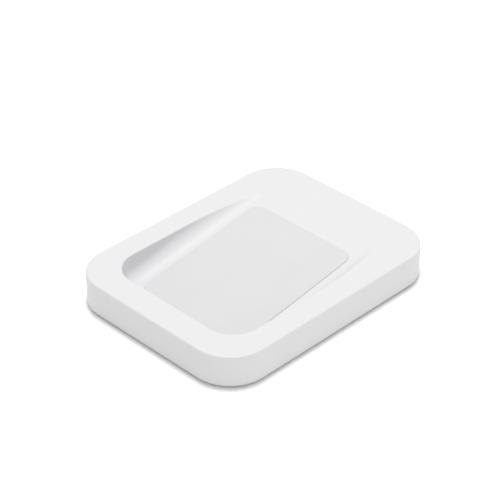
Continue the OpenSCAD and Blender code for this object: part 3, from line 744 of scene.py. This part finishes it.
def board_material():
    """Green mask over copper: runs of tracks in square patches, and tinned vias."""
    mat = material("board_mask", MASK_GREEN, 0.32, spread=0.1, grain=3000, depth=4e-6)
    nt = mat.node_tree
    where = nt.nodes["Texture Coordinate"].outputs["Object"]

    def compare(value, operation, limit):
        node = nt.nodes.new("ShaderNodeMath")
        node.operation = operation
        node.inputs[1].default_value = limit
        nt.links.new(value, node.inputs[0])
        return node.outputs["Value"]

    def lay(colour, factor, over):
        node = nt.nodes.new("ShaderNodeMix")
        node.data_type = "RGBA"
        node.inputs["B"].default_value = (*over, 1)
        nt.links.new(factor, node.inputs["Factor"])
        nt.links.new(colour, node.inputs["A"])
        return node.outputs["Result"]

    def cells(scale, metric):
        node = nt.nodes.new("ShaderNodeTexVoronoi")
        node.distance = metric
        node.inputs["Scale"].default_value = scale
        nt.links.new(where, node.inputs["Vector"])
        return node

    patch = nt.nodes.new("ShaderNodeSeparateColor")
    nt.links.new(cells(TRACK_PATCHES, "CHEBYCHEV").outputs["Color"], patch.inputs["Color"])
    colour = nt.nodes["Mix"].outputs["Result"]
    # Some patches have tracks one way, some the other way, and the rest have none
    for axis, operation, limit in (("X", "GREATER_THAN", 0.62), ("Y", "LESS_THAN", 0.36)):
        lines = nt.nodes.new("ShaderNodeTexWave")
        lines.bands_direction = axis
        lines.inputs["Scale"].default_value = TRACKS
        nt.links.new(where, lines.inputs["Vector"])
        both = nt.nodes.new("ShaderNodeMath")
        both.operation = "MULTIPLY"
        nt.links.new(compare(lines.outputs["Fac"], "GREATER_THAN", 0.6), both.inputs[0])
        nt.links.new(compare(patch.outputs["Red"], operation, limit), both.inputs[1])
        colour = lay(colour, both.outputs["Value"], MASK_OVER_COPPER)
    vias = compare(cells(VIAS, "EUCLIDEAN").outputs["Distance"], "LESS_THAN", 0.08)
    nt.links.new(lay(colour, vias, VIA_TIN), nt.nodes["Principled BSDF"].inputs["Base Color"])
    return mat


def litz_material():
    """Enamelled copper strands, twisted along the wire."""
    mat = material("litz_copper", (0.62, 0.27, 0.10), 0.34, metal=0.85, spread=0.12, blotch=900,
                   grain=6000, depth=4e-5)
    nt = mat.node_tree
    twist = nt.nodes.new("ShaderNodeTexWave")
    twist.bands_direction = "DIAGONAL"
    twist.inputs["Scale"].default_value = 900
    twist.inputs["Distortion"].default_value = 1.5
    nt.links.new(nt.nodes["Texture Coordinate"].outputs["Object"], twist.inputs["Vector"])
    nt.links.new(twist.outputs["Fac"], nt.nodes["Bump"].inputs["Height"])
    return mat


def clear_material():
    mat = material("clear_acrylic", (0.93, 0.95, 0.97), 0.08, spread=0.02, depth=2e-6, rough_spread=0.03)
    bsdf = mat.node_tree.nodes["Principled BSDF"]
    bsdf.inputs["Transmission Weight"].default_value = 0.55
    bsdf.inputs["IOR"].default_value = 1.49
    return mat


def make_materials():
    """Materials by the names of the record's slots."""
    looks = {name: material(name, **look) for name, look in LOOKS.items()}
    looks["copper_wire"] = litz_material()
    looks["board_green"] = board_material()
    looks["clear_acrylic"] = clear_material()
    return looks


def paint(obj, mat):
    obj.data.materials.clear()
    obj.data.materials.append(mat)


# ---------- finish of the CAD nodes that stay ----------

# Width of the bevel in mm; 0 is for wires, which have no hard edge. The capped chips,
# mosfets and contacts aren't here, because a bevel would crush their narrow faces.
BEVELS = {
    "base_plate": 0.12, "coil_carrier": 0.08, "ferrite_shield": 0.06, "main_pcb": 0.05,
    "controller_ic": 0.06, "driver_ics": 0.05, "filter_inductor": 0.08, "input_capacitors": 0.1,
    "crystal": 0.05, "status_led": 0.05, "light_pipe": 0.1, "inlet_insulator": 0.05,
    "housing_screws": 0.04, "pcb_screws": 0.06, "coil_adhesive": 0.02, "mat_adhesive": 0.03,
    "solder_joints": 0.04, "coil_lead_outer": 0, "coil_lead_inner": 0, "coil_thermistor": 0,
}
# Where second materials lie, in mm, each just clear of the edge between the two
CAP_LENGTHS = {
    "resonant_capacitors": 0.62, "ceramic_capacitors": 0.28, "chip_resistors": 0.28,
    "sense_resistor": 0.82,
}
MOSFET_BODY = 1.81
CHOKE_TERMINAL_TOP = 0.29
CAN_BASE_TOP = 0.805
# Faces that turn less than the first are flat; edges that turn more than the second are hard
FLAT_ANGLE = math.radians(0.5)
HARD_ANGLE = math.radians(30)


def soften(obj, width):
    """Joins a carried-over node's faces, merges its flat ones, evens its normals and,
    where a width is given, bevels its hard edges."""
    obj.data.polygons.foreach_set("use_smooth", [True] * len(obj.data.polygons))
    joined = obj.modifiers.new("joined_faces", "WELD")
    joined.merge_threshold = 1e-6
    flat = obj.modifiers.new("flat_faces", "DECIMATE")
    flat.decimate_type = "DISSOLVE"
    flat.angle_limit = FLAT_ANGLE
    flat.delimit = {"MATERIAL"}
    if width:
        bevel = obj.modifiers.new("soft_edges", "BEVEL")
        bevel.width = width
        bevel.segments = 2
        bevel.limit_method = "ANGLE"
        bevel.angle_limit = HARD_ANGLE
    even = obj.modifiers.new("even_normals", "WEIGHTED_NORMAL")
    even.weight = 50


def solids(mesh):
    """Groups the faces of a mesh into its separate solids, by points less than about a
    micrometre apart."""
    parent = list(range(len(mesh.polygons)))

    def root(k):
        while parent[k] != k:
            parent[k] = parent[parent[k]]
            k = parent[k]
        return k

    seen = {}
    for poly in mesh.polygons:
        for v in poly.vertices:
            key = tuple(round(c * 1e6) for c in mesh.vertices[v].co)
            parent[root(poly.index)] = root(seen.setdefault(key, poly.index))
    groups = {}
    for poly in mesh.polygons:
        groups.setdefault(root(poly.index), []).append(poly)
    return groups.values()


def second_look(node, mat, test):
    """Gives mat to the faces of a node whose centre passes the test. The test gets
    the centre, counted in mm from the middle of the foot of its solid, and half the
    solid's size."""
    mesh = frame["nodes"][node].data
    mesh.materials.append(mat)
    for group in solids(mesh):
        points = [mesh.vertices[v].co for poly in group for v in poly.vertices]
        lo = Vector([min(p[k] for p in points) for k in range(3)])
        hi = Vector([max(p[k] for p in points) for k in range(3)])
        foot = Vector(((lo.x + hi.x) / 2, (lo.y + hi.y) / 2, lo.z))
        for poly in group:
            if test((poly.center - foot) / MM, (hi - lo) / 2 / MM):
                poly.material_index = 1


# ---------- stage ----------

VIEW_AZIMUTH = math.radians(44.85)
VIEW_ELEVATION = math.radians(34.25)
VIEW_DISTANCE = 0.657
VIEW_AIM = Vector((-0.0061, 0.0035, 0.0109))
VIEW_LENS = 128.0

FLOOR_SIZE = 1.7
SKY_STRENGTH = 0.742
BACKDROP_STRENGTH = 1.02
KEY_POWER = 20.45
FILL_POWER = 2.47


def make_camera():
    data = bpy.data.cameras.new("camera")
    data.lens = VIEW_LENS
    data.sensor_width = 36
    data.clip_start = 0.01
    cam = link_object("camera", data)
    level = math.cos(VIEW_ELEVATION)
    back = Vector((math.sin(VIEW_AZIMUTH) * level, -math.cos(VIEW_AZIMUTH) * level,
                   math.sin(VIEW_ELEVATION)))
    cam.location = VIEW_AIM + back * VIEW_DISTANCE
    cam.rotation_euler = back.to_track_quat("Z", "Y").to_euler()
    bpy.context.scene.camera = cam


def softbox(name, size, power, location):
    """Rectangular light that faces the origin."""
    light = bpy.data.lights.new(name, "AREA")
    light.shape = "RECTANGLE"
    light.size, light.size_y = size
    light.energy = power
    obj = link_object(name, light)
    obj.location = location
    obj.rotation_euler = Vector(location).to_track_quat("Z", "Y").to_euler()


def make_stage():
    """White floor, two softboxes, and a sky that the camera sees as a white backdrop."""
    bpy.ops.mesh.primitive_plane_add(size=FLOOR_SIZE, location=(0, 0, 0))
    floor = bpy.context.object
    floor.name = "floor"
    paint(floor, material("floor_white", (0.96, 0.96, 0.96), 0.9, spread=0.005, blotch=3, grain=40,
                          depth=1e-5, specular=0.0))
    world = bpy.data.worlds.new("studio")
    world.use_nodes = True
    nt = world.node_tree
    sky = nt.nodes["Background"]
    backdrop = nt.nodes.new("ShaderNodeBackground")
    for node, strength in ((sky, SKY_STRENGTH), (backdrop, BACKDROP_STRENGTH)):
        node.inputs["Color"].default_value = (1.0, 1.0, 1.0, 1)
        node.inputs["Strength"].default_value = strength
    seen = nt.nodes.new("ShaderNodeMixShader")
    nt.links.new(nt.nodes.new("ShaderNodeLightPath").outputs["Is Camera Ray"], seen.inputs["Fac"])
    nt.links.new(sky.outputs["Background"], seen.inputs[1])
    nt.links.new(backdrop.outputs["Background"], seen.inputs[2])
    nt.links.new(seen.outputs["Shader"], nt.nodes["World Output"].inputs["Surface"])
    bpy.context.scene.world = world
    softbox("key", (0.4, 0.4), KEY_POWER, (-0.16, 0.16, 1.9))
    softbox("right_fill", (1.4, 0.7), FILL_POWER, (1.6, 0, 0.45))
    bpy.context.scene.view_settings.view_transform = "Standard"
    bpy.context.scene.view_settings.look = "None"


# ---------- assembly ----------

make_camera()
make_stage()
looks = make_materials()
slot_of = {row["node"]: row["material_slot"] for row in frame["record"]["subparts"]}

made = {
    "top_housing": make_housing(),
    "cradle_liner": make_liner(),
    "non_slip_mat": make_mat(),
    "transmitter_coil": make_coil(),
    "inlet_shell": make_inlet_shell(),
}
for name, piece in made.items():
    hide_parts(name)
    paint(piece, looks[slot_of[name]])
    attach(piece, "root")

for name, node in frame["nodes"].items():
    if name not in made:
        paint(node, looks[slot_of[name]])
for name, width in BEVELS.items():
    soften(frame["nodes"][name], width * MM)
for name, cap in CAP_LENGTHS.items():
    second_look(name, looks["solder"], lambda c, half: abs(c.x) > half.x - cap)
second_look("power_mosfets", looks["solder"], lambda c, half: abs(c.y) > MOSFET_BODY)
second_look("filter_inductor", looks["solder"], lambda c, half: c.z < CHOKE_TERMINAL_TOP)
second_look("input_capacitors", looks["chip_black"], lambda c, half: c.z < CAN_BASE_TOP)
